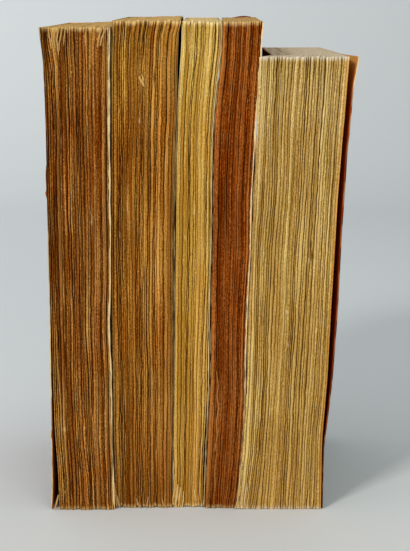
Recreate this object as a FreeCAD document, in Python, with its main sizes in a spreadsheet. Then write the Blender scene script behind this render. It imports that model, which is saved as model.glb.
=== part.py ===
import FreeCAD, Part
import os
import random

import Sketcher

# Five old paperbacks stand side by side on their tails, fore-edges to the front.
# Each book is a block of leaves in a card cover that is glued round its spine.
# Only the two outermost covers are free to swing, so each of them is a panel of its own.
# X runs from the first book to the fifth, Y from the fore-edges to the spines and Z up.
# The origin is the middle of the footprint, on the surface that the books stand on.

BOOKS = ("first", "second", "third", "fourth", "fifth")
SIDES = ("left", "right")
LEVELS = ("tail", "waist", "head")
# How far the outer and the inner face of a cover lie below its outer face.
DEPTHS = ("0", "Sizes.cover_thick")

# The sizes of each book, in millimetres, covers included. Its height and depth are given as
# what it has over the common format, which is less than nothing for a smaller book. A gap is
# the space to the book on its left, and the first book's gaps are its distance from the left
# end of the row. Above the waist the leaves fan out, so the head is the widest level.
BOOK_SIZES = {
    "first": {
        "height_over": -2.0,
        "depth_over": 0.0,
        "setback": 0.0,
        "tail_width": 22.8,
        "waist_width": 22.3,
        "head_width": 23.7,
        "spine_width": 23.2,
        "tail_gap": 1.0,
        "waist_gap": 1.0,
        "head_gap": 0.0,
        "spine_gap": 1.5,
    },
    "second": {
        "height_over": 0.3,
        "depth_over": 1.5,
        "setback": 2.4,
        "tail_width": 21.25,
        "waist_width": 23.2,
        "head_width": 24.3,
        "spine_width": 22.8,
        "tail_gap": 0.25,
        "waist_gap": 0.4,
        "head_gap": 0.6,
        "spine_gap": 1.0,
    },
    "third": {
        "height_over": 0.0,
        "depth_over": -1.0,
        "setback": 3.2,
        "tail_width": 11.4,
        "waist_width": 12.9,
        "head_width": 13.95,
        "spine_width": 13.2,
        "tail_gap": 0.3,
        "waist_gap": 0.4,
        "head_gap": 0.75,
        "spine_gap": 1.3,
    },
    "fourth": {
        "height_over": 0.0,
        "depth_over": 0.5,
        "setback": 2.0,
        "tail_width": 12.55,
        "waist_width": 15.05,
        "head_width": 14.25,
        "spine_width": 14.2,
        "tail_gap": 0.25,
        "waist_gap": 0.25,
        "head_gap": 0.25,
        "spine_gap": 1.4,
    },
    "fifth": {
        "height_over": -12.2,
        "depth_over": -1.5,
        "setback": 1.0,
        "tail_width": 30.65,
        "waist_width": 31.05,
        "head_width": 31.5,
        "spine_width": 24.0,
        "tail_gap": 0.25,
        "waist_gap": 0.25,
        "head_gap": 0.3,
        "spine_gap": 2.5,
    },
}

# The sizes that the books share, and those of single features, in millimetres.
OTHER_SIZES = {
    "format_height": 178.0,
    "format_depth": 107.5,
    "waist_height": 137.0,
    "cover_thick": 0.3,
    "cover_ease": 0.1,
    "cover_recess": 0.3,
    "fold_gap": 0.3,
    "worn_corner": 1.8,
    "furrow_deep": 0.9,
    "furrow_wide": 0.45,
    "leaf_stagger": 0.45,
    "pinch_tail": 2.7,
    "pinch_knee": 1.5,
    "pinch_waist": 0.1,
    "pinch_head": 0.1,
    "knee_height": 35.0,
    "curl_tail": 2.0,
    "curl_waist": 3.6,
    "curl_head": 4.2,
    "curl_depth": 16.0,
    "splay_tail": 0.2,
    "splay_waist": 2.2,
    "splay_head": 3.1,
    "chip_deep": 1.4,
    "chip_slope": 2.5,
    "upper_chip_low": 117.0,
    "upper_chip_high": 128.0,
    "lower_chip_low": 27.5,
    "lower_chip_high": 31.0,
}

# How many bundles of leaves show as ridges on each fore-edge, and the seed of their widths.
BUNDLES = {"first": 12, "second": 12, "third": 7, "fourth": 7, "fifth": 15}
BUNDLE_SEED = 7
BUNDLE_WIDTHS = (0.6, 1.5)

# The points of a rounded corner, as angles round its arc.
CORNER_ANGLES = (0, 30, 60, 90)


def make_sizes(doc):
    """The sheet of driving sizes: one named cell for each."""
    sheet = doc.addObject("Spreadsheet::Sheet", "Sizes")
    cells = dict(OTHER_SIZES)
    for book, sizes in BOOK_SIZES.items():
        for size, value in sizes.items():
            cells[f"{book}_{size}"] = value
    for row, (name, value) in enumerate(cells.items(), start=1):
        sheet.set(f"A{row}", name)
        sheet.set(f"B{row}", str(value))
        sheet.setAlias(f"B{row}", name)
    doc.recompute()
    return sheet


def make_row(doc):
    """Where each book stands, worked out from the sizes of the books before it."""
    row = doc.addObject("App::VarSet", "Row")

    def place(name, expression):
        row.addProperty("App::PropertyFloat", name)
        row.setExpression(name, expression)

    starts = {level: "" for level in (*LEVELS, "spine")}
    for book in BOOKS:
        place(f"{book}_height", f"Sizes.format_height + Sizes.{book}_height_over")
        depth = f"Sizes.format_depth + Sizes.{book}_depth_over"
        place(f"{book}_back", f"Sizes.{book}_setback + {depth}")
        place(f"{book}_flare", f"{book}_height - Sizes.waist_height")
        if book != BOOKS[0]:
            starts = {level: f"{last}_{level}_right + " for level in starts}
            fan = f"({last}_head_right - {last}_waist_right)"
            rise = f"{book}_flare / {last}_flare"
            starts["head"] = f"{last}_waist_right + {fan} * {rise} + "
        for level, start in starts.items():
            place(f"{book}_{level}_left", f"{start}Sizes.{book}_{level}_gap")
            place(f"{book}_{level}_right", f"{book}_{level}_left + Sizes.{book}_{level}_width")
        last = book

    first = BOOKS[0]
    for side in SIDES:
        lean = f"({first}_waist_{side} - {first}_tail_{side})"
        rise = "Sizes.knee_height / Sizes.waist_height"
        place(f"{first}_knee_{side}", f"{first}_tail_{side} + {lean} * {rise}")

    left_ends = "; ".join(f"{first}_{level}_left" for level in starts)
    right_ends = "; ".join(f"{last}_{level}_right + Sizes.splay_{level}" for level in LEVELS)
    fronts = "; ".join(f"Sizes.{book}_setback" for book in BOOKS)
    backs = "; ".join(f"{book}_back" for book in BOOKS)
    place("middle_x", f"(min({left_ends}) + max({right_ends}; {last}_spine_right)) / 2")
    place("middle_y", f"(min({fronts}) + max({backs})) / 2")
    doc.recompute()
    return row


def make_body(doc, label):
    """An empty body whose own origin is at the left front corner of the row."""
    body = doc.addObject("PartDesign::Body", label)
    body.Label = label
    body.setExpression("Placement.Base.x", "-Row.middle_x")
    body.setExpression("Placement.Base.y", "-Row.middle_y")
    return body


def origin_plane(body, role):
    return next(plane for plane in body.Origin.OriginFeatures if plane.Role == role)


def make_outline(body, name, points, height="0", role="XY_Plane"):
    """A closed outline of straight edges through points given as pairs of expressions.

    Points that share an expression are aligned with each other instead of being set twice.
    """
    sketch = body.newObject("Sketcher::SketchObject", name)
    sketch.AttachmentSupport = [(origin_plane(body, role), "")]
    sketch.MapMode = "FlatFace"
    sketch.setExpression("AttachmentOffset.Base.z", height)

    known = {}
    for expression in (part for point in points for part in point):
        if expression not in known:
            known[expression] = body.evalExpression(expression)
    corners = [FreeCAD.Vector(known[x], known[y], 0) for x, y in points]
    count = len(corners)
    following = [(number + 1) % count for number in range(count)]
    sketch.addGeometry(
        [Part.LineSegment(corners[number], corners[following[number]]) for number in range(count)]
    )

    rules = [
        Sketcher.Constraint("Coincident", number, 2, following[number], 1)
        for number in range(count)
    ]
    bound = {}
    first_with = {}
    for number, point in enumerate(points):
        for kind, aligned, expression in (
            ("DistanceX", "Vertical", point[0]),
            ("DistanceY", "Horizontal", point[1]),
        ):
            twin = first_with.setdefault((kind, expression), number)
            if twin == number:
                bound[len(rules)] = expression
                rules.append(Sketcher.Constraint(kind, -1, 1, number, 1, known[expression]))
            else:
                rules.append(Sketcher.Constraint(aligned, twin, 1, number, 1))
    sketch.addConstraint(rules)
    for number, expression in bound.items():
        sketch.setExpression(f"Constraints[{number}]", expression)
    return sketch


def make_loft(body, name, outlines):
    """Straight walls from each outline to the next one above it."""
    loft = body.newObject("PartDesign::AdditiveLoft", name)
    loft.Profile = outlines[0]
    loft.Sections = outlines[1:]
    loft.Ruled = True


def inset(book, level, side, by):
    """The X of a point that lies inside a book's left or right outer face."""
    sign = "+" if side == "left" else "-"
    return f"Row.{book}_{level}_{side} {sign} ({by})"


def curl_x(level, by):
    """The X of the bend in the fifth book's front leaves and cover, inside its left face."""
    return f"Row.fifth_{level}_left + Sizes.curl_{level} + ({by})"


def cover_front(book):
    return f"Sizes.{book}_setback + Sizes.cover_recess"


def cover_points(book, level, side):
    """One cover panel of a bound book, from its fore-edge to the spine: outer, then inner."""
    faces = []
    for depth in DEPTHS:
        face = [(inset(book, level, side, depth), cover_front(book))]
        if book == "fifth" and side == "left":
            face.append((curl_x(level, depth), f"Sizes.{book}_setback + Sizes.curl_depth"))
        face.append((inset(book, "spine", side, depth), f"Row.{book}_back - {depth}"))
        faces.append(face)
    return faces


def spine_end(book, side):
    """Where a spine stops at the fold of a cover that swings: outer, then inner."""
    return [[(f"Row.{book}_spine_{side}", f"Row.{book}_back - {depth}")] for depth in DEPTHS]


def bundle_shares(book):
    """Where the furrows between the bundles of leaves lie, as shares of the fore-edge, and
    how far back each bundle stands, as a share of the stagger."""
    draw = random.Random(f"{book} {BUNDLE_SEED}")
    widths = [draw.uniform(*BUNDLE_WIDTHS) for _ in range(BUNDLES[book])]
    shares = [sum(widths[:number]) / sum(widths) for number in range(1, BUNDLES[book])]
    staggers = [draw.random() for _ in widths]
    foremost = min(staggers)
    return shares, [stagger - foremost for stagger in staggers]


def page_points(book, level, pinch):
    """The outline of a block of leaves: its ridged fore-edge, then its spine."""
    room = "Sizes.cover_thick + Sizes.cover_ease"
    left = inset(book, level, "left", f"{room} + {pinch}")
    right = inset(book, level, "right", room)
    front = f"Sizes.{book}_setback"
    glue_line = f"Row.{book}_back - Sizes.cover_thick"
    shares, staggers = bundle_shares(book)

    def across(share):
        return f"({left}) + {share:.4f} * (({right}) - ({left}))"

    points = []
    for number, stagger in enumerate(staggers):
        face = f"{front} + {stagger:.3f} * Sizes.leaf_stagger"
        starts = f"{across(shares[number - 1])} + Sizes.furrow_wide / 2" if number else left
        points.append((starts, face))
        if number < len(shares):
            furrow = across(shares[number])
            points.append((f"{furrow} - Sizes.furrow_wide / 2", face))
            points.append((furrow, f"{front} + Sizes.furrow_deep"))
        else:
            points.append((right, face))
    points.append((inset(book, "spine", "right", room), glue_line))
    points.append((inset(book, "spine", "left", room), glue_line))
    if book == "fifth":
        points.append((curl_x(level, room), f"{front} + Sizes.curl_depth"))
    return points


def cut_through(body, name, points):
    """Cuts an outline, drawn from the side, through every panel of a cover."""
    sketch = make_outline(body, f"{name}_outline", points, role="YZ_Plane")
    pocket = body.newObject("PartDesign::Pocket", name)
    pocket.Profile = sketch
    pocket.Type = "ThroughAll"
    pocket.SideType = "Symmetric"


def round_corners(body, book):
    """Rounds the free corners of a cover, where handling has worn them."""
    front = cover_front(book)
    beyond = "Sizes.worn_corner"
    for end, edge, inward in (("tail", "0", "+"), ("head", f"Row.{book}_height", "-")):
        outward = "-" if inward == "+" else "+"
        arc = [
            (
                f"{front} + Sizes.worn_corner * (1 - cos({angle} deg))",
                f"{edge} {inward} Sizes.worn_corner * (1 - sin({angle} deg))",
            )
            for angle in CORNER_ANGLES
        ]
        outside = [
            (arc[-1][0], f"{edge} {outward} {beyond}"),
            (f"{front} - {beyond}", f"{edge} {outward} {beyond}"),
            (f"{front} - {beyond}", arc[0][1]),
        ]
        cut_through(body, f"{body.Label}_{end}_corner", arc + outside)


def heights(book):
    """The height of each level of a book."""
    return {"tail": "0", "waist": "Sizes.waist_height", "head": f"Row.{book}_height"}


def make_pages(doc, book):
    """A block of leaves. The first book's is pinched in towards the foot of its left side."""
    body = make_body(doc, f"{book}_book_pages")
    pinched = book == "first"
    levels = heights(book)
    if pinched:
        tail = levels.pop("tail")
        levels = {"tail": tail, "knee": "Sizes.knee_height", **levels}
    outlines = []
    for level, height in levels.items():
        points = page_points(book, level, f"Sizes.pinch_{level}" if pinched else "0")
        outlines.append(make_outline(body, f"{book}_pages_{level}", points, height))
    make_loft(body, f"{book}_pages_loft", outlines)
    return body


def make_wrapper(doc, book, label, sides):
    """The part of a cover that stays with the spine: the spine and the panels on sides."""
    body = make_body(doc, label)
    outlines = []
    for level, height in heights(book).items():
        outer, inner = [], []
        for side in SIDES:
            if side in sides:
                outer_face, inner_face = cover_points(book, level, side)
            else:
                outer_face, inner_face = spine_end(book, side)
            if side == "right":
                outer_face, inner_face = outer_face[::-1], inner_face[::-1]
            outer += outer_face
            inner += inner_face
        outlines.append(make_outline(body, f"{label}_{level}", outer + inner[::-1], height))
    make_loft(body, f"{label}_loft", outlines)
    round_corners(body, book)
    return body


def make_panel(doc, book, label, side, splayed):
    """An outermost cover that swings on the fold at the spine. It may stand off its leaves."""
    body = make_body(doc, label)
    fold = f"Row.{book}_back - Sizes.cover_thick - Sizes.fold_gap"
    outlines = []
    for level, height in heights(book).items():
        away = f"- Sizes.splay_{level}" if splayed else ""
        points = [
            (inset(book, level, side, f"0 {away}"), cover_front(book)),
            (inset(book, "spine", side, "0"), fold),
            (inset(book, "spine", side, "Sizes.cover_thick"), fold),
            (inset(book, level, side, f"Sizes.cover_thick {away}"), cover_front(book)),
        ]
        outlines.append(make_outline(body, f"{label}_{level}", points, height))
    make_loft(body, f"{label}_loft", outlines)
    round_corners(body, book)
    return body


def chip_edge(body, book, name):
    """A chip broken out of the fore-edge of a brittle cover."""
    front = cover_front(book)
    low, high = f"Sizes.{name}_low", f"Sizes.{name}_high"
    outside = f"{front} - Sizes.chip_deep"
    inside = f"{front} + Sizes.chip_deep"
    points = [
        (outside, low),
        (front, low),
        (inside, f"{low} + Sizes.chip_slope"),
        (inside, high),
        (outside, high),
    ]
    cut_through(body, name, points)


def make_books(doc):
    """Every sub-part of the stack."""
    bodies = [make_pages(doc, book) for book in BOOKS]
    front_cover = make_panel(doc, "first", "first_book_front_cover", "left", splayed=False)
    for name in ("upper_chip", "lower_chip"):
        chip_edge(front_cover, "first", name)
    bodies.append(front_cover)
    bodies.append(make_wrapper(doc, "first", "first_book_spine_and_back_cover", ("right",)))
    for book in BOOKS[1:-1]:
        bodies.append(make_wrapper(doc, book, f"{book}_book_paper_cover", SIDES))
    bodies.append(make_wrapper(doc, "fifth", "fifth_book_front_cover_and_spine", ("left",)))
    bodies.append(make_panel(doc, "fifth", "fifth_book_back_cover", "right", splayed=True))
    return bodies


def check(doc, bodies):
    """Stops if anything failed to build."""
    failed = [
        item.Label for item in doc.Objects if {"Invalid", "Error"} & set(item.State)
    ]
    for body in bodies:
        if body.Shape.isNull() or not body.Shape.isValid() or not body.Shape.Solids:
            failed.append(body.Label)
    if failed:
        raise RuntimeError(f"these did not build: {sorted(set(failed))}")


def main():
    doc = FreeCAD.newDocument("BookStack")
    make_sizes(doc)
    make_row(doc)
    bodies = make_books(doc)
    doc.recompute()
    check(doc, bodies)
    os.makedirs("parts", exist_ok=True)
    for body in bodies:
        body.Shape.exportStep(f"parts/{body.Label}.step")


main()
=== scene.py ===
import math

import bpy
import numpy as np
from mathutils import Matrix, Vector


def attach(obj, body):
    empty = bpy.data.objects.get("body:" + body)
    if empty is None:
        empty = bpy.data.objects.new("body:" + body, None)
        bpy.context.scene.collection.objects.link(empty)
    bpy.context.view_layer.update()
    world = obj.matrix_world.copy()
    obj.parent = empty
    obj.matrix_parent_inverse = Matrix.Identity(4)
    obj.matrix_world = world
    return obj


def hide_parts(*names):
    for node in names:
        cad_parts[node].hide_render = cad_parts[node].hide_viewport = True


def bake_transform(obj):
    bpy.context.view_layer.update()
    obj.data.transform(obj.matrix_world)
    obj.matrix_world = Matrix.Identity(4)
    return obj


# Five old paperbacks on their tails, fore-edges to the front. Every length here is in
# millimetres in the frame's own axes, and the meshes are made in metres.
# ROOM is how far the leaves lie inside a cover's outer face, and RECESS how far a cover's
# fore-edge lies behind its leaves.
MM = 0.001
WAIST = 137.0
CARD = 0.3
ROOM = 0.4
RECESS = 0.3
WORN_CORNER = 1.8
SPINE_ROUND = 0.9
HINGE_REACH = 1.2
SPREAD_DEPTH = 30.0
LEAST_BUNDLE = 0.24
MIDDLE_ROWS = 170
# A cover in plan has stations along each panel, round each corner and along its spine.
CORNER_TURNS = np.radians([0, 30, 60, 90])
SPINE_STATIONS = 7
COVER_SEED = 100

# The covers' outer faces at each level, as in the CAD, and what each block of leaves is like:
# how many bundles it has, how strong its grain is, how unlike the bundles are in width, how
# few of its gaps are deep (quiet), how ragged its tail is, the share of its thickness past
# which it is warmer (endpaper), and how far its head rises from the fore-edge to the spine,
# at its left and at its right.
BOOKS = {
    "first": {
        "height": 176.0, "front": -55.7, "back": 51.8, "spine": (-54.51, -31.31),
        "tail": (-55.01, -32.21), "waist": (-55.01, -32.71), "head": (-56.01, -32.31),
        "bundles": 25, "grain": 1.7, "uneven": 1.5, "quiet": 0.9, "ragged": 0.9,
        "endpaper": 2.0, "rise": (-0.35, 0.7), "seed": 11,
    },
    "second": {
        "height": 178.3, "front": -53.3, "back": 55.7, "spine": (-30.31, -7.51),
        "tail": (-31.96, -10.71), "waist": (-32.31, -9.11), "head": (-31.69, -7.39),
        "bundles": 25, "grain": 2.0, "uneven": 1.0, "quiet": 0.9, "ragged": 1.9,
        "endpaper": 2.0, "rise": (-0.3, 0.5), "seed": 12,
    },
    "third": {
        "height": 178.0, "front": -52.5, "back": 54.0, "spine": (-6.21, 6.99),
        "tail": (-10.41, 0.99), "waist": (-8.71, 4.19), "head": (-6.65, 7.3),
        "bundles": 13, "grain": 2.3, "uneven": 1.0, "quiet": 1.2, "ragged": 0.9,
        "endpaper": 2.0, "rise": (-0.3, -0.3), "seed": 13,
    },
    "fourth": {
        "height": 178.0, "front": -53.7, "back": 54.3, "spine": (8.39, 22.59),
        "tail": (1.24, 13.79), "waist": (4.44, 19.49), "head": (7.55, 21.8),
        "bundles": 15, "grain": 2.3, "uneven": 1.7, "quiet": 1.6, "ragged": 0.8,
        "endpaper": 2.0, "rise": (-0.2, 0.2), "seed": 14,
    },
    "fifth": {
        "height": 165.8, "front": -54.7, "back": 51.3, "spine": (25.09, 49.09),
        "tail": (14.04, 44.69), "waist": (19.74, 50.79), "head": (21.41, 52.91),
        "bundles": 33, "grain": 2.1, "uneven": 0.8, "quiet": 1.0, "ragged": 0.4,
        "endpaper": 0.975, "rise": (0.0, 0.0), "seed": 15,
    },
}

# Where the leaves and the covers end at the fore-edge, as (height, x). The first of each pair
# of edges is the book's left one.
LEAF_EDGES = {
    "first": (
        ((175, -55.9), (168, -55.6), (162, -55.1), (137, -54.62), (122, -54.55), (97, -54.2),
         (79, -54.1), (68, -53.9), (49, -53.75), (30, -53.4), (15, -52.45), (1, -52.1)),
        ((176, -32.40), (162, -32.82), (137, -32.92), (122, -32.87), (116, -33.07),
         (108, -32.95), (93, -33.02), (86, -33.05), (80, -33.25), (68, -33.62), (60, -33.42),
         (53, -33.1), (42, -33.02), (30, -32.97), (25, -33.02), (15, -32.6), (1, -32.45)),
    ),
    "second": (
        ((178, -30.94), (162, -31.58), (137, -31.81), (115, -32.01), (93, -32.07),
         (78, -32.20), (64, -32.19), (49, -32.11), (26, -31.95), (11, -31.53), (1, -31.43)),
        ((178, -6.9), (176, -7.4), (174, -8.05), (169, -8.42), (162, -8.65), (148, -8.98),
         (137, -9.58), (115, -10.18), (93, -10.43), (64, -10.53), (41, -10.55), (26, -10.95),
         (11, -11.15), (1, -11.10)),
    ),
    "third": (
        ((177, -6.30), (169, -6.53), (162, -7.04), (155, -7.55), (148, -8.00), (137, -8.31),
         (129, -8.69), (115, -8.80), (93, -9.15), (63, -9.45), (41, -9.70), (26, -10.05),
         (11, -9.75), (1, -9.95)),
        ((177, 7.11), (169, 6.91), (162, 6.07), (153, 5.02), (146, 4.31), (137, 3.78),
         (118, 3.47), (100, 3.40), (86, 3.1), (74, 2.75), (60, 2.35), (41, 2.1), (26, 1.2),
         (11, 0.54), (1, 0.54)),
    ),
    "fourth": (
        ((178, 7.98), (165, 7.47), (153, 6.07), (146, 5.37), (137, 4.85), (115, 4.69),
         (97, 4.34), (78, 3.95), (49, 3.65), (30, 2.75), (11, 2.02), (1, 1.70)),
        ((178, 21.3), (172, 21.1), (158, 20.3), (147, 19.6), (137, 19.05), (118, 17.9),
         (97, 17.6), (75, 16.45), (60, 16.0), (41, 15.85), (22, 14.85), (7, 13.6),
         (1, 12.75)),
    ),
    "fifth": (
        ((166, 21.7), (158, 21.35), (147, 20.6), (137, 20.05), (115, 18.95), (97, 18.6),
         (75, 17.6), (60, 17.15), (41, 16.9), (22, 15.9), (7, 14.65), (1, 14.0)),
        ((165, 52.47), (155, 51.73), (146, 51.14), (137, 50.38), (115, 48.89), (95, 48.07),
         (75, 47.06), (49, 46.0), (26, 44.36), (0, 44.2)),
    ),
}
CARD_EDGES = {
    "first": (
        ((176, -57.2), (173, -56.7), (168, -56.05), (162, -55.6), (148, -55.2), (137, -55.05),
         (113, -55.0), (97, -54.9), (82, -54.85), (68, -54.8), (49, -54.8), (33, -54.75),
         (8, -54.85), (1, -55.25)),
        ((176, -31.95), (162, -32.4), (137, -32.5), (122, -32.45), (116, -32.65),
         (108, -32.5), (93, -32.6), (86, -32.63), (80, -32.8), (68, -33.2), (60, -33.0),
         (53, -32.7), (42, -32.6), (30, -32.55), (25, -32.6), (15, -32.15), (1, -31.97)),
    ),
    "second": (
        ((178, -31.34), (162, -31.98), (137, -32.21), (115, -32.41), (93, -32.47),
         (78, -32.55), (64, -32.55), (49, -32.5), (26, -32.35), (11, -31.93), (1, -31.83)),
        ((178, -7.5), (174, -7.75), (169, -8.02), (162, -8.25), (148, -8.58), (137, -9.18),
         (115, -9.78), (93, -10.03), (64, -10.13), (41, -10.15), (26, -10.55), (11, -10.75),
         (1, -10.70)),
    ),
    "third": (
        ((177, -6.70), (169, -6.93), (162, -7.44), (155, -7.95), (148, -8.40), (137, -8.95),
         (129, -9.3), (115, -9.6), (93, -9.88), (63, -9.98), (41, -10.03), (26, -10.43),
         (11, -10.5), (1, -10.5)),
        ((177, 7.5), (169, 7.3), (162, 6.5), (153, 5.45), (146, 4.75), (137, 4.2),
         (118, 3.9), (100, 3.8), (86, 3.4), (74, 3.15), (60, 3.0), (49, 2.9), (41, 2.75),
         (26, 2.0), (11, 1.5), (1, 1.15)),
    ),
    "fourth": (
        tuple((up, x - ROOM) for up, x in LEAF_EDGES["fourth"][0]),
        ((178, 22.1), (172, 21.7), (158, 20.75), (147, 20.0), (137, 19.4), (118, 18.35),
         (97, 18.0), (75, 17.0), (60, 16.5), (41, 16.3), (22, 15.3), (7, 14.05),
         (1, 13.3)),
    ),
    "fifth": (
        tuple((up, x - ROOM) for up, x in LEAF_EDGES["fifth"][0]),
        ((165, 55.97), (155, 54.18), (146, 53.50), (137, 52.8), (133, 52.3), (119, 51.6),
         (104, 50.72), (93, 50.3), (75, 49.65), (49, 48.0), (34, 46.4), (23, 45.12),
         (1, 44.9)),
    ),
}
# The tips of the fifth book's first leaves curl to the left, past the fourth book's cover.
TIP_EDGE = ((165, 20.62), (158, 20.55), (147, 20.07), (137, 19.73), (115, 19.06), (95, 18.11),
            (75, 17.37), (49, 16.83), (23, 15.40), (6, 13.62), (1, 12.90))
TIP_DEPTH = 0.6

# The fifth book's left side bends where its front leaves curl.
CURL_DEPTH = 16.0
CURL = ((0, 2.0), (137, 3.6), (165.8, 4.2))

# Leaves that lean aside: book, x, reach, from height, to height, how far.
KINKS = (
    ("first", -53.2, 1.5, 160, 176, -0.9),
    ("first", -50.6, 1.2, 164, 176, 0.8),
    ("first", -36.2, 1.3, 166, 176, 0.8),
    ("first", -42.0, 0.9, 60, 22, 0.9),
)
# Gaps between leaves that gape: book, x, from height, to height, half width.
GAPES = (
    ("first", -33.7, 92, 150, 0.2),
    ("first", -39.9, 24, 52, 0.2),
    ("first", -54.2, 20, 172, 0.17),
    ("first", -46.4, 150, 174, 0.2),
    ("first", -43.5, 95, 150, 0.2),
    ("second", -12.6, 60, 160, 0.17),
    ("fifth", 24.5, 40, 120, 0.12),
    ("fourth", 9.3, 100, 176, 0.16),
)
# Loose scraps of leaf before the fore-edge: book, points as (x, height), width, lift.
SCRAPS = (
    ("first", ((-53.6, 175.6), (-53.4, 173.6), (-53.0, 171.4), (-52.7, 168.6)), 0.62, 0.2),
    ("first", ((-52.5, 175.8), (-52.5, 173.6), (-52.3, 171.0), (-52.0, 168.4)), 0.58, 0.38),
    ("first", ((-51.3, 175.7), (-51.5, 173.8), (-51.6, 171.6), (-51.2, 168.8)), 0.55, 0.22),
    ("first", ((-49.9, 175.9), (-50.2, 174.2), (-50.6, 172.2), (-50.4, 169.2), (-50.1, 166.4)), 0.6, 0.4),
    ("first", ((-48.9, 175.7), (-49.1, 173.8), (-49.7, 171.0), (-49.9, 167.8)), 0.55, 0.25),
    ("first", ((-47.6, 175.6), (-48.0, 173.0), (-48.2, 170.0)), 0.45, 0.2),
    ("first", ((-33.9, 175.6), (-34.1, 174.0), (-34.9, 172.2), (-35.3, 169.6)), 0.7, 0.35),
    ("first", ((-34.7, 175.8), (-35.3, 174.2), (-36.0, 172.0), (-36.3, 169.0)), 0.65, 0.25),
    ("first", ((-40.3, 175.6), (-40.6, 173.0), (-40.4, 169.4)), 0.5, 0.22),
    ("first", ((-39.6, 111.0), (-39.0, 108.6), (-39.1, 106.2)), 0.35, 0.1),
    ("first", ((-40.4, 49.0), (-40.3, 40.0), (-39.4, 33.0), (-39.2, 27.0), (-38.8, 23.6)), 0.34, 0.1),
    ("first", ((-50.2, 33.0), (-49.6, 31.0), (-50.1, 28.8)), 0.45, 0.15),
    ("first", ((-52.4, 6.0), (-53.1, 3.0), (-54.0, 0.5)), 0.6, 0.0),
    ("first", ((-34.6, 118.0), (-35.0, 108.0), (-34.8, 98.0)), 0.34, 0.08),
    ("first", ((-52.6, 70.0), (-51.9, 52.0), (-51.2, 40.0), (-50.9, 30.0)), 0.36, 0.06),
    ("second", ((-19.9, 168.0), (-20.2, 164.0), (-20.7, 160.0), (-20.5, 155.5)), 0.35, 0.12),
    ("second", ((-21.9, 158.8), (-21.3, 157.3), (-20.6, 156.6), (-20.1, 155.2)), 0.9, 0.3),
    ("second", ((-20.9, 159.6), (-20.4, 158.2), (-20.5, 156.9)), 0.6, 0.4),
    ("second", ((-18.2, 56.0), (-17.5, 50.0), (-17.9, 44.0), (-17.4, 37.0), (-17.7, 31.0)), 0.4, 0.08),
    ("third", ((-3.6, 176.4), (-3.9, 170.0), (-3.6, 163.0)), 0.35, 0.08),
    ("third", ((2.6, 172.0), (2.0, 160.0), (0.9, 148.0)), 0.35, 0.06),
    ("third", ((-9.6, 13.0), (-9.8, 7.0), (-10.5, 2.5), (-11.2, 0.3)), 0.8, 0.25),
    ("third", ((-8.6, 9.0), (-8.9, 5.0), (-9.6, 0.4)), 0.7, 0.35),
    ("third", ((-7.7, 8.0), (-7.9, 4.0), (-8.3, 0.4)), 0.6, 0.2),
    ("third", ((-6.4, 6.4), (-6.5, 3.0), (-6.9, 0.3)), 0.5, 0.15),
    ("third", ((-2.4, 7.0), (-2.2, 4.5), (-1.6, 2.6)), 0.5, 0.15),
    ("second", ((-32.0, 10.0), (-31.7, 5.0), (-31.2, 0.4)), 0.8, 0.35),
    ("second", ((-31.0, 5.0), (-30.6, 2.4), (-30.1, 0.4)), 0.6, 0.25),
    ("second", ((-24.0, 4.0), (-23.3, 1.6), (-22.9, 0.5)), 0.5, 0.2),
    ("second", ((-19.4, 4.4), (-19.9, 2.0), (-20.3, 0.5)), 0.5, 0.2),
    ("second", ((-14.6, 4.0), (-14.0, 1.8), (-13.5, 0.6)), 0.5, 0.2),
    ("fourth", ((5.6, 52.0), (6.3, 46.0), (5.8, 42.5), (6.5, 38.0), (5.6, 33.0), (5.9, 28.0), (5.0, 22.0)),
     0.55, 0.12),
    ("fourth", ((5.3, 19.0), (5.0, 13.0), (5.4, 8.0)), 0.36, 0.12),
    ("fifth", ((14.5, 16.0), (14.0, 9.0), (13.4, 3.0), (12.7, 0.3)), 0.6, 0.2),
    ("fifth", ((15.7, 13.0), (15.1, 6.0), (14.3, 0.4)), 0.55, 0.25),
    ("fifth", ((16.8, 10.0), (16.3, 5.0), (15.7, 0.4)), 0.5, 0.2),
    ("fifth", ((43.2, 163.0), (43.0, 152.0), (42.4, 140.0)), 0.35, 0.05),
    ("fifth", ((28.4, 160.0), (28.0, 147.0), (27.6, 136.0)), 0.35, 0.05),
)
# Torn spots on the fore-edges: book, x, height, size.
NICKS = (
    ("second", -21.2, 157, 0.9),
    ("second", -21.9, 143, 0.8),
    ("second", -17.6, 124, 0.6),
    ("second", -29.2, 102, 0.6),
    ("second", -13.7, 101, 0.6),
    ("third", -2.5, 110, 0.6),
    ("third", -5.6, 101, 0.6),
    ("first", -39.3, 107, 0.7),
    ("first", -49.9, 31, 0.9),
    ("fifth", 31.2, 74, 0.7),
    ("fifth", 31.6, 62, 0.7),
    ("fifth", 38.9, 93, 0.6),
)
# Bands of leaves darker or lighter than the rest: book, x, reach, from height, to height, tone.
BANDS = (
    ("first", -51.0, 1.9, 158, 182, -1.3),
    ("first", -54.9, 0.7, 118, 180, -2.6),
    ("first", -52.3, 0.5, 100, 168, -1.6),
    ("first", -47.4, 1.6, 90, 170, 0.5),
    ("first", -42.2, 0.7, 60, 172, -1.8),
    ("first", -38.6, 0.8, 70, 168, -2.0),
    ("first", -35.6, 0.5, 60, 160, -1.2),
    ("first", -50.2, 0.9, 10, 90, 0.9),
    ("second", -27.5, 2.6, 100, 172, 0.5),
    ("second", -13.2, 1.6, 70, 160, -1.3),
    ("second", -10.6, 0.8, 70, 180, -1.3),
    ("second", -22.4, 0.8, 6, 90, -1.2),
    ("third", 0.0, 1.6, 0, 110, 0.5),
    ("fourth", 17.2, 1.0, 60, 180, 0.8),
    ("fourth", 9.4, 0.8, 100, 180, -1.0),
    ("fifth", 22.0, 1.0, 130, 166, 0.7),
    ("fifth", 33.8, 0.6, 110, 150, -1.0),
)
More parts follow.
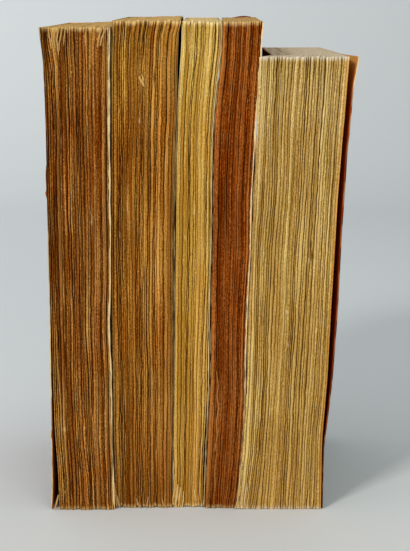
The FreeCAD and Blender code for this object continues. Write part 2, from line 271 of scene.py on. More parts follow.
# Gouges in the fore-edges, recessed and darkened with painted shade: book, x, height, half width,
# half height.
GOUGES = (
    ("fifth", 40.0, 94.6, 0.5, 2.4),
    ("fifth", 39.5, 98.6, 0.3, 1.2),
    ("fifth", 34.4, 135.5, 0.25, 1.0),
    ("second", -16.5, 158.0, 0.3, 2.5),
)
# The fore-edges of the covers: how wide the worn card is, how far it flares outward, and how
# pale it is at each height; where it is not pale it is dark brown, partly grime and partly painted
# shade of the gap beside it.
RIMS = {
    ("first", 0): (0.4, 0.0, ((176, 0.7), (172, 0.1), (128, 0.1), (115, 0.0), (100, 0.5),
                               (60, 0.9), (45, 0.8), (33, 0.4), (28, 0.9), (20, 0.6), (0, 0.8))),
    ("first", 1): (0.78, 0.32, ((176, 0.7), (150, 0.65), (120, 0.9), (90, 1.0), (60, 0.9),
                                (40, 0.8), (28, 0.45), (20, 0.35), (12, 0.8), (0, 1.0))),
    ("second", 0): (0.3, 0.0, ((178, 0.7), (165, 0.5), (150, 0.2), (0, 0.1))),
    ("second", 1): (0.42, 0.0, ((178, 0.3), (160, 0.5), (140, 0.5), (60, 0.4), (0, 0.3))),
    ("third", 0): (0.5, 0.0, ((178, 0.9), (150, 0.5), (130, 0.3), (20, 0.35), (8, 0.9), (0, 1.0))),
    ("third", 1): (0.42, 0.05, ((178, 1.0), (150, 0.85), (110, 0.7), (60, 0.7), (30, 0.6),
                                (0, 0.6))),
    ("fourth", 0): (0.3, 0.0, ((178, 0.3), (0, 0.15))),
    ("fourth", 1): (0.6, 0.0, ((178, 1.0), (120, 0.85), (90, 0.8), (60, 0.65), (30, 0.45),
                                (0, 0.3))),
    ("fifth", 0): (0.3, 0.0, ((166, 0.3), (0, 0.2))),
    ("fifth", 1): (0.45, 0.0, ((166, 1.0), (161, 0.9), (152, 0.35), (135, 0.15), (0, 0.1))),
}

# The chips in the first cover's fore-edge, from height to height, and how deep they are.
CHIPS = ((117.0, 128.0), (27.5, 31.0))
CHIP_DEEP = 1.4
# How far a cover's fore-edge stands forward of where the others are, past its leaves.
FORWARD = {("fourth", 1): 0.5, ("third", 1): 0.3}


def linear(*rgb):
    """An sRGB colour, 0 to 255, as the linear colour that a shader takes."""
    made = [c / 255 for c in rgb]
    made = [c / 12.92 if c <= 0.04045 else ((c + 0.055) / 1.055) ** 2.4 for c in made]
    return (*made, 1.0)


def rows_of(name, table):
    """The rows of a table that are about one book, without its name."""
    return [row[1:] for row in table if row[0] == name]


def smooth(value):
    """An eased step from 0 to 1."""
    value = np.clip(value, 0, 1)
    return value * value * (3 - 2 * value)


def line(points, soft=3.0):
    """A smooth line through (height, x) pairs, as a function of height."""
    heights, places = zip(*sorted(points))
    fine = np.arange(-20.0, 200.0, 0.5)
    offsets = np.arange(-10, 11)
    kernel = np.exp(-0.5 * (offsets / soft) ** 2)
    bent = np.interp(fine, heights, places)
    bent = np.convolve(np.pad(bent, 10, mode="edge"), kernel / kernel.sum(), mode="valid")
    return lambda z: np.interp(z, fine, bent)


def noise(rng, count, at, spacing):
    """Smooth random lines between -1 and 1, one for each of count."""
    place = (np.asarray(at, float) - np.min(at)) / spacing
    knots = rng.uniform(-1, 1, (count, int(place.max()) + 3))
    cell = place.astype(int)
    part = smooth(place - cell)
    return knots[:, cell] * (1 - part) + knots[:, cell + 1] * part


def row_heights(height):
    """The rows of a mesh, close together near the tail and the head."""
    low = np.array([0, 0.12, 0.3, 0.55, 0.9, 1.3, 1.8, 2.4, 3.1, 4, 5, 6, 7, 8, 9.2, 10.5])
    high = height - np.array([18, 16.8, 15.6, 14.4, 13.3, 12.2, 11.1, 10, 9, 8, 7, 6.1, 5.2,
                              4.4, 3.7, 3, 2.4, 1.8, 1.3, 0.9, 0.55, 0.3, 0.12, 0])
    middle = np.linspace(low[-1], high[0], MIDDLE_ROWS + 2)[1:-1]
    return np.concatenate([low, middle, high])


DEPTH_STEPS = np.array([0, 0.3, 0.7, 1.2, 1.9, 3, 4.5, 6.5, 9, 12, 16, 21, 27, 34, 42, 52, 62,
                        72, 82, 92, 100, 105])


def depth_shares(deep):
    return np.append(DEPTH_STEPS[DEPTH_STEPS < deep - 1.5], deep) / deep


def side_x(name, side, z, depth, edge, inset, tip=None):
    """The X of a cover's or block's side at heights z and depths behind its fore-edge.

    At the fore-edge it follows the photographed edge, and further in the CAD's plane."""
    book = BOOKS[name]
    deep = book["back"] - book["front"]
    levels = (0, WAIST, book["height"])
    cad_front = np.interp(z, levels, [book[level][side] for level in ("tail", "waist", "head")])
    cad_front = cad_front + inset
    spine = book["spine"][side] + inset
    z_grid, depth_grid = np.meshgrid(z, depth, indexing="ij")
    front_grid = np.interp(z_grid, z, cad_front)
    plane = front_grid + (spine - front_grid) * depth_grid / deep
    if name == "fifth" and side == 0:
        knee = front_grid + np.interp(z_grid, *zip(*CURL))
        plane = np.where(
            depth_grid < CURL_DEPTH,
            front_grid + (knee - front_grid) * depth_grid / CURL_DEPTH,
            knee + (spine - knee) * (depth_grid - CURL_DEPTH) / (deep - CURL_DEPTH),
        )
    away = line(edge)(z)[:, None] - front_grid
    fade = 1 - smooth(depth_grid / SPREAD_DEPTH)
    made = plane + away * fade
    if tip is not None:
        tips = line(tip)(z)[:, None] - line(edge)(z)[:, None]
        made = made + tips * np.exp(-((depth_grid / TIP_DEPTH) ** 2))
    return made


def grid_faces(rows, columns, start, flip):
    """The quads of a grid whose vertices start at start, row by row."""
    corner = np.arange(rows * columns).reshape(rows, columns) + start
    quads = np.stack([corner[:-1, :-1], corner[1:, :-1], corner[1:, 1:], corner[:-1, 1:]], -1)
    quads = quads.reshape(-1, 4)
    return quads[:, ::-1] if flip else quads


class Surface:
    """Grids of points, gathered into one mesh with float attributes."""

    def __init__(self, *attributes):
        self.points, self.faces, self.count = [], [], 0
        self.values = {attribute: [] for attribute in attributes}

    def add(self, points, flip, **values):
        rows, columns = points.shape[:2]
        self.faces.append(grid_faces(rows, columns, self.count, flip))
        self.points.append(points.reshape(-1, 3))
        for attribute, gathered in self.values.items():
            value = values.get(attribute, 0.0)
            gathered.append(np.broadcast_to(value, (rows, columns)).reshape(-1))
        self.count += rows * columns

    def make(self, name, material):
        mesh = bpy.data.meshes.new(name)
        points = np.concatenate(self.points) * MM
        faces = np.concatenate(self.faces)
        mesh.from_pydata(points.tolist(), [], faces.tolist())
        for attribute, gathered in self.values.items():
            layer = mesh.attributes.new(attribute, "FLOAT", "POINT")
            layer.data.foreach_set("value", np.concatenate(gathered).astype(np.float32))
        mesh.polygons.foreach_set("use_smooth", np.ones(len(faces), bool))
        mesh.materials.append(material)
        mesh.update()
        piece = bpy.data.objects.new(name, mesh)
        bpy.context.scene.collection.objects.link(piece)
        return piece


def leaf_columns(name, z, rng):
    """The fore-edge of a block: its columns' X and depth on every row, and their looks."""
    book = BOOKS[name]
    count = book["bundles"]
    tip = TIP_EDGE if name == "fifth" else None
    left = side_x(name, 0, z, np.array([0.0]), LEAF_EDGES[name][0], ROOM, tip)[:, 0]
    right = side_x(name, 1, z, np.array([0.0]), LEAF_EDGES[name][1], -ROOM)[:, 0]
    widths = 0.6 + rng.random(count) ** 1.6 * book["uneven"]
    shares = np.concatenate([[0], np.cumsum(widths)]) / widths.sum()
    thick = (right - left).mean()

    together = noise(rng, count + 1, z, 24.0)
    kernel = np.exp(-0.5 * (np.arange(-6, 7) / 2.4) ** 2)
    together = np.apply_along_axis(np.convolve, 0, together, kernel / kernel.sum(), "same")
    wave = 0.8 * together + 0.1 * noise(rng, count + 1, z, 8.0)
    wave += 0.12 * noise(rng, count + 1, z, 3.4) + 0.07 * noise(rng, count + 1, z, 1.7)
    wave *= np.clip(np.minimum(shares, 1 - shares) * 12, 0, 1)[:, None]
    bounds = left + shares[:, None] * (right - left) + wave
    for x, reach, low, high, shift in rows_of(name, KINKS):
        near = np.exp(-(((bounds - x) / reach) ** 2))
        bounds = bounds + shift * near * smooth((z - low) / (high - low))
    curl = rng.uniform(-0.45, 0.45, count + 1)
    bounds = bounds + curl[:, None] * np.exp(-z / 2.2)
    bounds[0], bounds[-1] = left, right
    for number in range(1, count):
        bounds[number] = np.maximum(bounds[number], bounds[number - 1] + LEAST_BUNDLE)
    for number in range(count - 1, 0, -1):
        bounds[number] = np.minimum(bounds[number], bounds[number + 1] - LEAST_BUNDLE)

    strength = 0.12 + 0.88 * rng.random(count + 1) ** book["quiet"]
    swell = 0.66 + 0.34 * noise(rng, count + 1, z, 16.0)
    swell = swell * (0.85 + 0.3 * noise(rng, count + 1, z, 2.2))
    gap = 0.07 + 0.19 * strength[:, None] * swell
    deep = 0.4 + 1.4 * strength[:, None] * swell
    head_fan = smooth((z - (book["height"] - 16)) / 16)
    gap = gap * (1 + 0.4 * head_fan)
    for x, low, high, half in rows_of(name, GAPES):
        nearest = 1 + np.abs(bounds[1:-1].mean(1) - x).argmin()
        opened = smooth((z - low) / 6) * smooth((high - z) / 6)
        gap[nearest] = gap[nearest] + (half - gap[nearest]) * opened
        deep[nearest] = deep[nearest] + (2.0 - deep[nearest]) * opened
        strength[nearest] = 1.0
    gap = np.clip(gap, 0.04, 0.3)
    gap[0] = gap[-1] = 0

    face = 0.34 * rng.random(count)[:, None] + 0.08 * noise(rng, count, z, 12.0)
    face += 0.09 * noise(rng, count, z, 2.0)
    slant = rng.uniform(-0.14, 0.14, count)
    tone = rng.normal(0, 1, count)
    # pale sets how strongly a bundle's leaf edge, left of its middle, gets a painted highlight.
    pale = rng.random(count) ** 2.5
    columns = {key: [] for key in ("x", "y", "leaf", "tone", "gap_shade", "lip")}

    def column(x, y, leaf, tone_of, gap_shade, lip):
        for key, value in zip(columns, (x, y, leaf, tone_of, gap_shade, lip)):
            columns[key].append(value)

    for number in range(count):
        start = bounds[number] + gap[number]
        end = bounds[number + 1] - gap[number + 1]
        round_off = 0.05 + 0.09 * rng.random()
        # The columns at a bundle's sides, beside the gaps, get some painted shade.
        for place, back_by in ((0, 1.0), (0.2, 0.25), (0.5, 0.0), (0.8, 0.25), (1, 1.0)):
            leaf = (shares[number] * (1 - place) + shares[number + 1] * place) * thick
            near_gap = strength[number] if place < 0.5 else strength[number + 1]
            column(
                start + place * (end - start),
                face[number] + back_by * round_off + slant[number] * (place - 0.5),
                leaf,
                tone[number],
                0.3 * near_gap if back_by == 1.0 else 0.0,
                pale[number] * (1.0 if place == 0.2 else 0.25),
            )
        # Between bundles a column sinks into the gap, darkened with painted shade.
        if number < count - 1:
            column(
                bounds[number + 1],
                deep[number + 1] + 0.1,
                shares[number + 1] * thick,
                tone[number],
                0.45 + 0.55 * strength[number + 1],
                0.0,
            )
    across = np.array(columns["x"])
    inward = np.array(columns["y"])
    torn = np.zeros_like(across)
    for x, height, size in rows_of(name, NICKS):
        near = np.exp(-((across - x) / (0.55 * size)) ** 2 - ((z - height) / size) ** 2)
        inward = inward * (1 - near) - 0.12 * near
        torn = np.maximum(torn, near)
    gouged = np.zeros_like(across)
    for x, height, wide, tall in rows_of(name, GOUGES):
        near = np.exp(-((across - x) / wide) ** 2 - ((z - height) / tall) ** 2)
        gouged = np.maximum(gouged, near)
    inward = inward + 0.8 * gouged
    worn = np.clip(1 - (book["height"] - z) / 0.9, 0, 1) ** 2
    inward = np.maximum(inward, -0.1) + 0.22 * worn
    share = np.array(columns["leaf"]) / thick
    looks = {
        key: np.array(columns[key], float)[:, None] for key in ("leaf", "tone", "gap_shade", "lip")
    }
    for x, reach, low, high, shift in rows_of(name, BANDS):
        near = np.exp(-(((across - x) / reach) ** 2))
        near = near * smooth((z - low) / 14) * smooth((high - z) / 14)
        looks["tone"] = looks["tone"] + shift * near
    looks["gap"] = (looks["gap_shade"] > 0.4).astype(float)
    looks["torn"] = torn
    # The gouges are darkened with painted shade as well.
    looks["gap_shade"] = np.maximum(looks["gap_shade"], 0.8 * gouged)
    looks["warm"] = np.where(share[:, None] > book["endpaper"], 1.0, 0.0)
    return across, inward, looks, share, left, right


def make_leaves(name, material):
    book = BOOKS[name]
    rng = np.random.default_rng(book["seed"])
    height, front, back = book["height"], book["front"], book["back"] - CARD
    deep = back - front
    z = row_heights(height)
    across, inward, looks, share, left, right = leaf_columns(name, z, rng)
    steps = depth_shares(deep)
    depth = steps * deep
    tip = TIP_EDGE if name == "fifth" else None
    lefts = side_x(name, 0, z, depth, LEAF_EDGES[name][0], ROOM, tip)
    rights = side_x(name, 1, z, depth, LEAF_EDGES[name][1], -ROOM)
    straight = left + share[:, None] * (right - left)
    columns = len(share)
    gaps = looks["gap"][:, 0] > 0.5
    bundle = np.cumsum(gaps)

    # How each bundle ends at the head and the tail, from the fore-edge to the spine.
    tops = 0.14 * noise(rng, bundle.max() + 1, depth, 30.0)[bundle]
    uneven = rng.uniform(-0.3, 0.55, bundle.max() + 1)[bundle] * (0.5 if name == "fifth" else 1.0)
    tops = tops + uneven[:, None] * np.exp(-depth / 1.6)
    rise = book["rise"][0] + (book["rise"][1] - book["rise"][0]) * share
    tops = tops + rise[:, None] * smooth(steps)[None, :]
    tops = tops - 0.22 * np.exp(-depth / 0.5) - np.where(gaps, 0.3, 0.0)[:, None]
    ragged = rng.random(bundle.max() + 1)[bundle] ** 1.3 * book["ragged"]
    tails = ragged[:, None] * np.exp(-depth / 1.1) + 0.05 * rng.random(columns)[:, None]
    tails = tails + np.where(gaps, 0.35, 0.0)[:, None] * np.exp(-depth / 6)
    upper = smooth((z - (height - 7)) / 7)
    lower = 1 - smooth(z / 3)

    def points(column, row, step):
        """The points of one face: two of the three are lists and the other a single one."""
        column, row, step = np.ix_(column, row, step)
        x = lefts[row, step] + share[column] * (rights - lefts)[row, step]
        x = x + (across - straight)[column, row] * np.exp(-depth[step] / 12)
        y = front + inward[column, row] + (deep - inward[column, row]) * steps[step]
        up = z[row] + upper[row] * tops[column, step] + lower[row] * tails[column, step]
        return np.stack(np.broadcast_arrays(x, y, up), -1)

    def look(column, row, kept=True):
        made = {}
        for key, value in looks.items():
            made[key] = value[np.ix_(column, row if kept and value.shape[1] > 1 else [0])]
        return made

    everyone, rows, levels = range(columns), range(len(z)), range(len(depth))
    last_row = len(z) - 1
    surface = Surface("leaf", "tone", "gap_shade", "lip", "torn", "top", "page", "rim", "warm")
    surface.add(points(everyone, rows, [0])[:, :, 0], True, **look(everyone, rows),
                rim=np.minimum(height - z, z)[None, :])
    flat = look(everyone, rows, kept=False)
    surface.add(points(everyone, [last_row], levels)[:, 0], False, **flat, top=1.0,
                rim=depth[None, :])
    surface.add(points(everyone, [0], levels)[:, 0], True, **flat, top=1.0, rim=depth[None, :])
    surface.add(points(everyone, range(0, last_row + 1, last_row), [len(depth) - 1])[:, :, 0],
                False, **flat, rim=50.0)
    edge = np.minimum(np.minimum(z, height - z)[:, None], depth[None, :])
    for column, flip in ((0, False), (columns - 1, True)):
        surface.add(points([column], rows, levels)[0], not flip, page=1.0, rim=edge + 0.6,
                    tone=0.0, leaf=share[column])
    for path, width, lift in rows_of(name, SCRAPS):
        long = path[0][1] - path[-1][1] > 10
        add_scrap(surface, path, width, front - lift, 0.3 if long else 0.8, rng)
    return surface.make(f"{name}_book_leaves", material)


def add_scrap(surface, path, width, front, bright, rng):
    """A loose scrap of leaf: a narrow ribbon that wanders down before the fore-edge."""
    steps = np.linspace(0, len(path) - 1, 5 * len(path))
    x = np.interp(steps, range(len(path)), [point[0] for point in path])
    up = np.interp(steps, range(len(path)), [point[1] for point in path])
    x = x + 0.09 * noise(rng, 1, steps, 0.45)[0]
    half = width / 2 * (0.45 + 0.55 * np.sin(np.linspace(0.25, math.pi - 0.3, len(steps))))
    bulge = 0.12 * noise(rng, 1, steps, 0.8)[0]
    rows = [
        np.stack([x + place * half, front + bulge + 0.3 * place**2, up], -1)
        for place in (-1.0, -0.4, 0.3, 1.0)
    ]
    leaf = np.array([[0], [0.3], [0.6], [0.9]])
    surface.add(np.stack(rows), True, tone=0.6, torn=bright, leaf=leaf, rim=40.0)


def cover_edge(name, side, z, rng):
    """How far behind the recessed line a cover's fore-edge lies on each row."""
    height = BOOKS[name]["height"]
    forward = FORWARD.get((name, side), 0.0)
    wear = 0.16 * noise(rng, 1, z, 4.0)[0] + 0.12 * noise(rng, 1, z, 1.4)[0] + 0.12
    end = np.minimum(z, height - z)
    from_round = np.clip(1 - end / WORN_CORNER, 0, 1)
    corner = WORN_CORNER * (1 - np.sqrt(1 - from_round**2))
    return np.maximum(wear, 0) + corner - forward


def panel_shares(deep):
    """The stations of one panel, as shares of the way from its fore-edge to its corner."""
    return depth_shares(deep - SPINE_ROUND - HINGE_REACH)


def cover_points(name, z, rng):
    """A whole cover's outer points and outward normals, station by station."""
    book = BOOKS[name]
    front, back, height = book["front"] + RECESS, book["back"], book["height"]
    deep = back - front
    panels = []
    flares = 0.75 + 0.35 * noise(rng, 2, z, 6.0) + 0.15 * noise(rng, 2, z, 2.0)
    reach = deep - SPINE_ROUND - HINGE_REACH
    for side in (0, 1):
        edge = CARD_EDGES[name][side]
        chipped = name == "first" and side == 0
        ends = cover_edge(name, side, z, rng)
        for low, high in CHIPS if chipped else ():
            ends = ends + CHIP_DEEP * smooth((z - low) / 1.2) * (1 - smooth((z - high) / 1.2))
        panel = []
        for share in panel_shares(deep):
            depth = ends + (reach - ends) * share
            if share < 0.35:
                # Near the fore-edge the depth differs from row to row.
                rows = zip(z[:, None], depth[:, None])
                x = np.array([side_x(name, side, at, far, edge, 0.0)[0, 0] for at, far in rows])
            else:
                x = side_x(name, side, z, np.array([reach * share]), edge, 0.0)[:, 0]
            if chipped:
                # Beside its chips the card is bent outward.
                bent = smooth((z - 115) / 3) * (1 - smooth((z - 125) / 4))
                x = x - 0.75 * bent * np.exp(-depth / 2.5)
                x = x - 1.2 * np.exp(-((z - 29) / 1.3) ** 2) * np.exp(-depth / 1.6)
            outward = (1 if side else -1) * RIMS[name, side][1]
            x = x + outward * np.exp(-np.maximum(depth, 0) / 0.8) * flares[side]
            panel.append(np.stack([x, front + depth, z], -1))
        panels.append(panel)
    spine_left, spine_right = book["spine"]
    outline = list(panels[0])
    out_normals = [(-1.0, 0.0)] * len(panels[0])
    centre_left = np.array([spine_left + SPINE_ROUND, back - SPINE_ROUND])
    centre_right = np.array([spine_right - SPINE_ROUND, back - SPINE_ROUND])

    def station(x, y, normal):
        outline.append(np.stack([np.full_like(z, x), np.full_like(z, y), z], -1))
        out_normals.append(normal)

    for turn in CORNER_TURNS:
        normal = (-math.cos(turn), math.sin(turn))
        station(*(centre_left + SPINE_ROUND * np.array(normal)), normal)
    inner_left, inner_right = centre_left[0], centre_right[0]
    for place in np.linspace(0, 1, SPINE_STATIONS + 2)[1:-1]:
        station(inner_left + place * (inner_right - inner_left), back, (0.0, 1.0))
    for turn in CORNER_TURNS[::-1]:
        normal = (math.cos(turn), math.sin(turn))
        station(*(centre_right + SPINE_ROUND * np.array(normal)), normal)
    outline += panels[1][::-1]
    out_normals += [(1.0, 0.0)] * len(panels[1])
    outline = np.array(outline)
    out_normals = np.array(out_normals)
    if name == "fourth":
        # The spine rises in a low arch at its head.
        spine_part = np.clip((outline[:, 0, 1] - (back - 1.5)) / 1.5, 0, 1)
        middle = (spine_left + spine_right) / 2
        bow = np.clip(1 - ((outline[:, 0, 0] - middle - 2.0) / 4.2) ** 2, 0, 1)
        outline[:, :, 2] += (0.75 * spine_part * bow)[:, None] * smooth((z - height + 4) / 4)
    return outline, out_normals


def make_cover(name, label, material, part=None):
    """A cover, or the part of it between two stations."""
    book = BOOKS[name]
    rng = np.random.default_rng(book["seed"] + COVER_SEED)
    z = row_heights(book["height"])
    outline, normals = cover_points(name, z, rng)
    total = len(outline)
    per_panel = len(panel_shares(book["back"] - book["front"] - RECESS))
    depth = outline[:, :, 1] - (book["front"] + RECESS)
    widths = np.array([RIMS[name, int(station >= total // 2)][0] for station in range(total)])
    frayed = 0.8 + 0.2 * noise(rng, 1, z, 5.0)[0] + 0.2 * noise(rng, 1, z, 1.6)[0]
    thick = CARD + (widths[:, None] * frayed - CARD) * np.exp(-np.maximum(depth, 0) / 0.5)
    thick = np.maximum(thick, 0.2)
    inner = outline.copy()
    inner[:, :, :2] -= normals[:, None, :] * thick[:, :, None]
    low, high = part or (0, total - 1)
    kept = slice(low, high + 1)
    from_front = np.abs(depth)
    on_spine = (np.arange(total) >= per_panel) & (np.arange(total) < total - per_panel)
    from_front = np.where(on_spine[:, None], 50.0, from_front)
    edge = np.minimum(from_front, np.minimum(z, book["height"] - z)[None, :])
    fold = np.abs(book["back"] - outline[:, :, 1])
    surface = Surface("edge", "inside", "rim", "fold", "down", "pale")
    down = np.broadcast_to(z[None, :], edge.shape) / book["height"]
    surface.add(outline[kept], False, edge=edge[kept], fold=fold[kept], down=down[kept])
    surface.add(inner[kept], True, edge=edge[kept], inside=1.0, fold=fold[kept], down=down[kept])
    ends = []
    if low == 0:
        ends.append((0, True))
    if high == total - 1:
        ends.append((total - 1, False))
    for station, flip in ends:
        lip = (outline[station] + inner[station]) / 2
        lip = lip - np.array([0, 0.07, 0])
        rim = np.stack([outline[station], lip, inner[station]])
        heights, paleness = zip(*sorted(RIMS[name, int(station > 0)][2]))
        pale = np.interp(z, heights, paleness) + 0.2 * noise(rng, 1, z, 3.0)[0]
        surface.add(rim, flip, rim=1.0, down=down[0][None, :], pale=pale[None, :])
    for row, flip in ((0, True), (len(z) - 1, False)):
        rim = np.stack([outline[kept, row], inner[kept, row]])
        surface.add(rim, not flip, rim=1.0, pale=0.7)
    return surface.make(label, material)


# Dark brown for the covers: grime towards their edges, and painted shade on rims that are not pale.
RIM_GRIME_AND_SHADE = linear(66, 34, 8)


def new_material(name):
    material = bpy.data.materials.new(name)
    material.use_nodes = True
    material.node_tree.nodes.clear()
    return material, material.node_tree


class Nodes:
    """Short calls for building a node tree."""

    def __init__(self, tree):
        self.tree = tree

    def new(self, kind, **inputs):
        node = self.tree.nodes.new(kind)
        for key, value in inputs.items():
            self.put(node, key, value)
        return node

    def put(self, node, key, value):
        """Link or set an input that key names or, as in i0, numbers."""
        socket = node.inputs[int(key[1:]) if key[0] == "i" and key[1:].isdigit() else key]
        if isinstance(value, bpy.types.NodeSocket):
            self.tree.links.new(value, socket)
        else:
            socket.default_value = value

    def attribute(self, name):
        node = self.tree.nodes.new("ShaderNodeAttribute")
        node.attribute_name = name
        return node.outputs["Fac"]

    def math(self, operation, a, b=0.0, c=0.0, clamp=False):
        node = self.tree.nodes.new("ShaderNodeMath")
        node.operation = operation
        node.use_clamp = clamp
        self.put(node, "i0", a)
        self.put(node, "i1", b)
        self.put(node, "i2", c)
        return node.outputs[0]

    def scaled(self, name, by):
        """An attribute times a number."""
        return self.math("MULTIPLY", self.attribute(name), by)

    def ramp(self, value, *stops):
        node = self.tree.nodes.new("ShaderNodeValToRGB")
        elements = node.color_ramp.elements
        while len(elements) < len(stops):
            elements.new(0.5)
        for element, (place, color) in zip(elements, stops):
            element.position = place
            element.color = color if isinstance(color, tuple) else (color, color, color, 1)
        self.put(node, "Fac", value)
        return node.outputs["Color"]

    def mix(self, factor, a, b, kind="MIX"):
        node = self.tree.nodes.new("ShaderNodeMix")
        node.data_type = "RGBA"
        node.blend_type = kind
        self.put(node, "i0", factor)
        self.put(node, "i6", a)
        self.put(node, "i7", b)
        return node.outputs[2]

    def noise(self, vector, scale=1.0, detail=2.0, rough=0.5):
        node = self.tree.nodes.new("ShaderNodeTexNoise")
        self.put(node, "Vector", vector)
        self.put(node, "Scale", scale)
        self.put(node, "Detail", detail)
        self.put(node, "Roughness", rough)
        return node.outputs["Fac"]


def millimetres(nodes):
    """The piece's own coordinates in millimetres, joined and split."""
    place = nodes.new("ShaderNodeTexCoord").outputs["Object"]
    scaled = nodes.tree.nodes.new("ShaderNodeVectorMath")
    scaled.operation = "SCALE"
    nodes.put(scaled, "Vector", place)
    scaled.inputs["Scale"].default_value = 1000.0
    split = nodes.tree.nodes.new("ShaderNodeSeparateXYZ")
    nodes.put(split, "Vector", scaled.outputs[0])
    return scaled.outputs[0], split.outputs


def finish_material(nodes, color, roughness, bump, strength, distance, specular=0.25):
    shader = nodes.new("ShaderNodeBsdfPrincipled")
    nodes.put(shader, "Base Color", color)
    nodes.put(shader, "Roughness", roughness)
    shader.inputs["Specular IOR Level"].default_value = specular
    raised = nodes.new("ShaderNodeBump")
    raised.inputs["Strength"].default_value = strength
    raised.inputs["Distance"].default_value = distance * MM
    nodes.put(raised, "Height", bump)
    nodes.put(shader, "Normal", raised.outputs[0])
    output = nodes.new("ShaderNodeOutputMaterial")
    nodes.put(output, "Surface", shader.outputs[0])


def leaf_material(name, colors, vivid, tail_tint, head_tint, height, grain):
    """The cut edges of old leaves: lines along each leaf, with painted shade in the gaps between them,
    painted highlights on some leaf edges and a painted shadow near the floor.
    """
    # deep is the colour of the painted shade in the gaps.
    deep, dark, middle, light, top, page = colors
    material, tree = new_material(name)
    nodes = Nodes(tree)
    place, axes = millimetres(nodes)
    sway = nodes.math("MULTIPLY_ADD", nodes.noise(place, scale=0.9, detail=2.0), 0.34, -0.17)
    leaf = nodes.math("ADD", nodes.attribute("leaf"), sway)

    def stretched(across, along):
        joined = tree.nodes.new("ShaderNodeCombineXYZ")
        nodes.put(joined, "X", nodes.math("MULTIPLY", leaf, across))
        nodes.put(joined, "Y", nodes.math("MULTIPLY", axes["Y"], along))
        nodes.put(joined, "Z", nodes.math("MULTIPLY", axes["Z"], along))
        return joined.outputs[0]

    def add(value, more, weight):
        centred = nodes.math("MULTIPLY_ADD", more, weight, -0.5 * weight)
        return nodes.math("ADD", value, centred)

    fine = nodes.noise(stretched(2.8, 0.025), detail=3.0, rough=0.65)
    hair = nodes.noise(stretched(1.7, 0.014), detail=2.0, rough=0.6)
    broad = nodes.noise(stretched(0.8, 0.02), detail=2.0)
    fibre = nodes.noise(stretched(3.0, 1.3), detail=4.0, rough=0.72)
    hue = nodes.noise(stretched(0.75, 0.02), detail=3.0)
    stain = nodes.noise(place, scale=0.045, detail=3.0)
    value = nodes.scaled("tone", 0.1)
    value = nodes.math("ADD", value, 0.5)
    for more, weight in ((fine, 1.5), (broad, 0.75), (fibre, grain), (stain, 0.5)):
        value = add(value, more, weight)
    color = nodes.ramp(value, (0.15, dark), (0.5, middle), (0.9, light))
    tint = nodes.ramp(hue, (0.36, (1.12, 0.9, 0.74, 1)), (0.5, (1, 1, 1, 1)), (0.64, (0.98, 1.1, 0.94, 1)))
    color = nodes.mix(vivid, color, tint, kind="MULTIPLY")
    rise = nodes.ramp(nodes.math("MULTIPLY", axes["Z"], 1 / height),
                      (0.0, tail_tint), (0.5, (1, 1, 1, 1)), (1.0, head_tint))
    color = nodes.mix(1.0, color, rise, kind="MULTIPLY")
    color = nodes.mix(nodes.ramp(hair, (0.4, 0.75), (0.46, 0.0)), color, dark)
    # Painted highlight: some leaf edges are mixed towards the light colour, as if lit from the left.
    lip = nodes.math("MULTIPLY", nodes.attribute("lip"), nodes.ramp(broad, (0.4, 0.15), (0.6, 0.9)))
    color = nodes.mix(lip, color, light)
    torn = nodes.scaled("torn", 0.5)
    color = nodes.mix(torn, color, top)
    glow = nodes.mix(1.0, color, (1.06, 0.84, 0.66, 1.0), kind="MULTIPLY")
    color = nodes.mix(nodes.attribute("warm"), color, glow)
    # Painted shade: the gaps and the gouges are mixed towards the gap colour, less on the head.
    gap_shade = nodes.ramp(nodes.attribute("gap_shade"), (0.0, 0.0), (0.7, 0.95))
    head = nodes.attribute("top")
    gap_shade = nodes.math("MULTIPLY", gap_shade, nodes.math("SUBTRACT", 1.0, nodes.math("MULTIPLY", head, 0.7)))
    color = nodes.mix(gap_shade, color, deep)
    dusty = nodes.mix(nodes.ramp(fine, (0.3, 0.0), (0.7, 0.5)), top, light)
    # Painted shade in the gaps on the head as well.
    dusty = nodes.mix(nodes.scaled("gap_shade", 0.14), dusty, dark)
    color = nodes.mix(nodes.math("MULTIPLY", head, 0.9), color, dusty)
    margin = nodes.ramp(nodes.scaled("rim", 0.04), (0.0, 0.75), (1.0, 0.0))
    sheet = nodes.mix(margin, page, middle)
    sheet = nodes.mix(nodes.ramp(stain, (0.35, 0.35), (0.7, 0.0)), sheet, middle)
    color = nodes.mix(nodes.attribute("page"), color, sheet)
    bump = nodes.math("ADD", nodes.math("MULTIPLY", fine, 0.5), nodes.math("MULTIPLY", fibre, 0.5))
    # Near the head and the tail the fore-edge turns paler: partly worn, torn leaf ends and partly a painted
    # highlight along the head's front edge; half as strong near the floor, and not in the gaps.
    ends = nodes.math("MULTIPLY_ADD", fibre, 1.6, -0.8)
    ends = nodes.math("ADD", nodes.scaled("rim", 0.5), ends)
    solid = nodes.math("SUBTRACT", 1.0, nodes.attribute("gap_shade"), clamp=True)
    tail_less = nodes.ramp(nodes.math("MULTIPLY", axes["Z"], 0.1), (0.0, 0.5), (1.0, 1.0))
    fringe = nodes.math("MULTIPLY", nodes.ramp(ends, (0.0, 0.8), (0.8, 0.0)), solid)
    fringe = nodes.math("MULTIPLY", fringe, tail_less)
    color = nodes.mix(fringe, color, top)
    # Painted shadow: near the floor the gaps turn to the gap colour.
    foot = nodes.math("MULTIPLY", nodes.ramp(axes["Z"], (0.1, 0.9), (0.8, 0.0)), nodes.attribute("gap_shade"))
    finish_material(nodes, nodes.mix(foot, color, deep), 0.95, bump, 0.5, 0.2, specular=0.0)
    return material


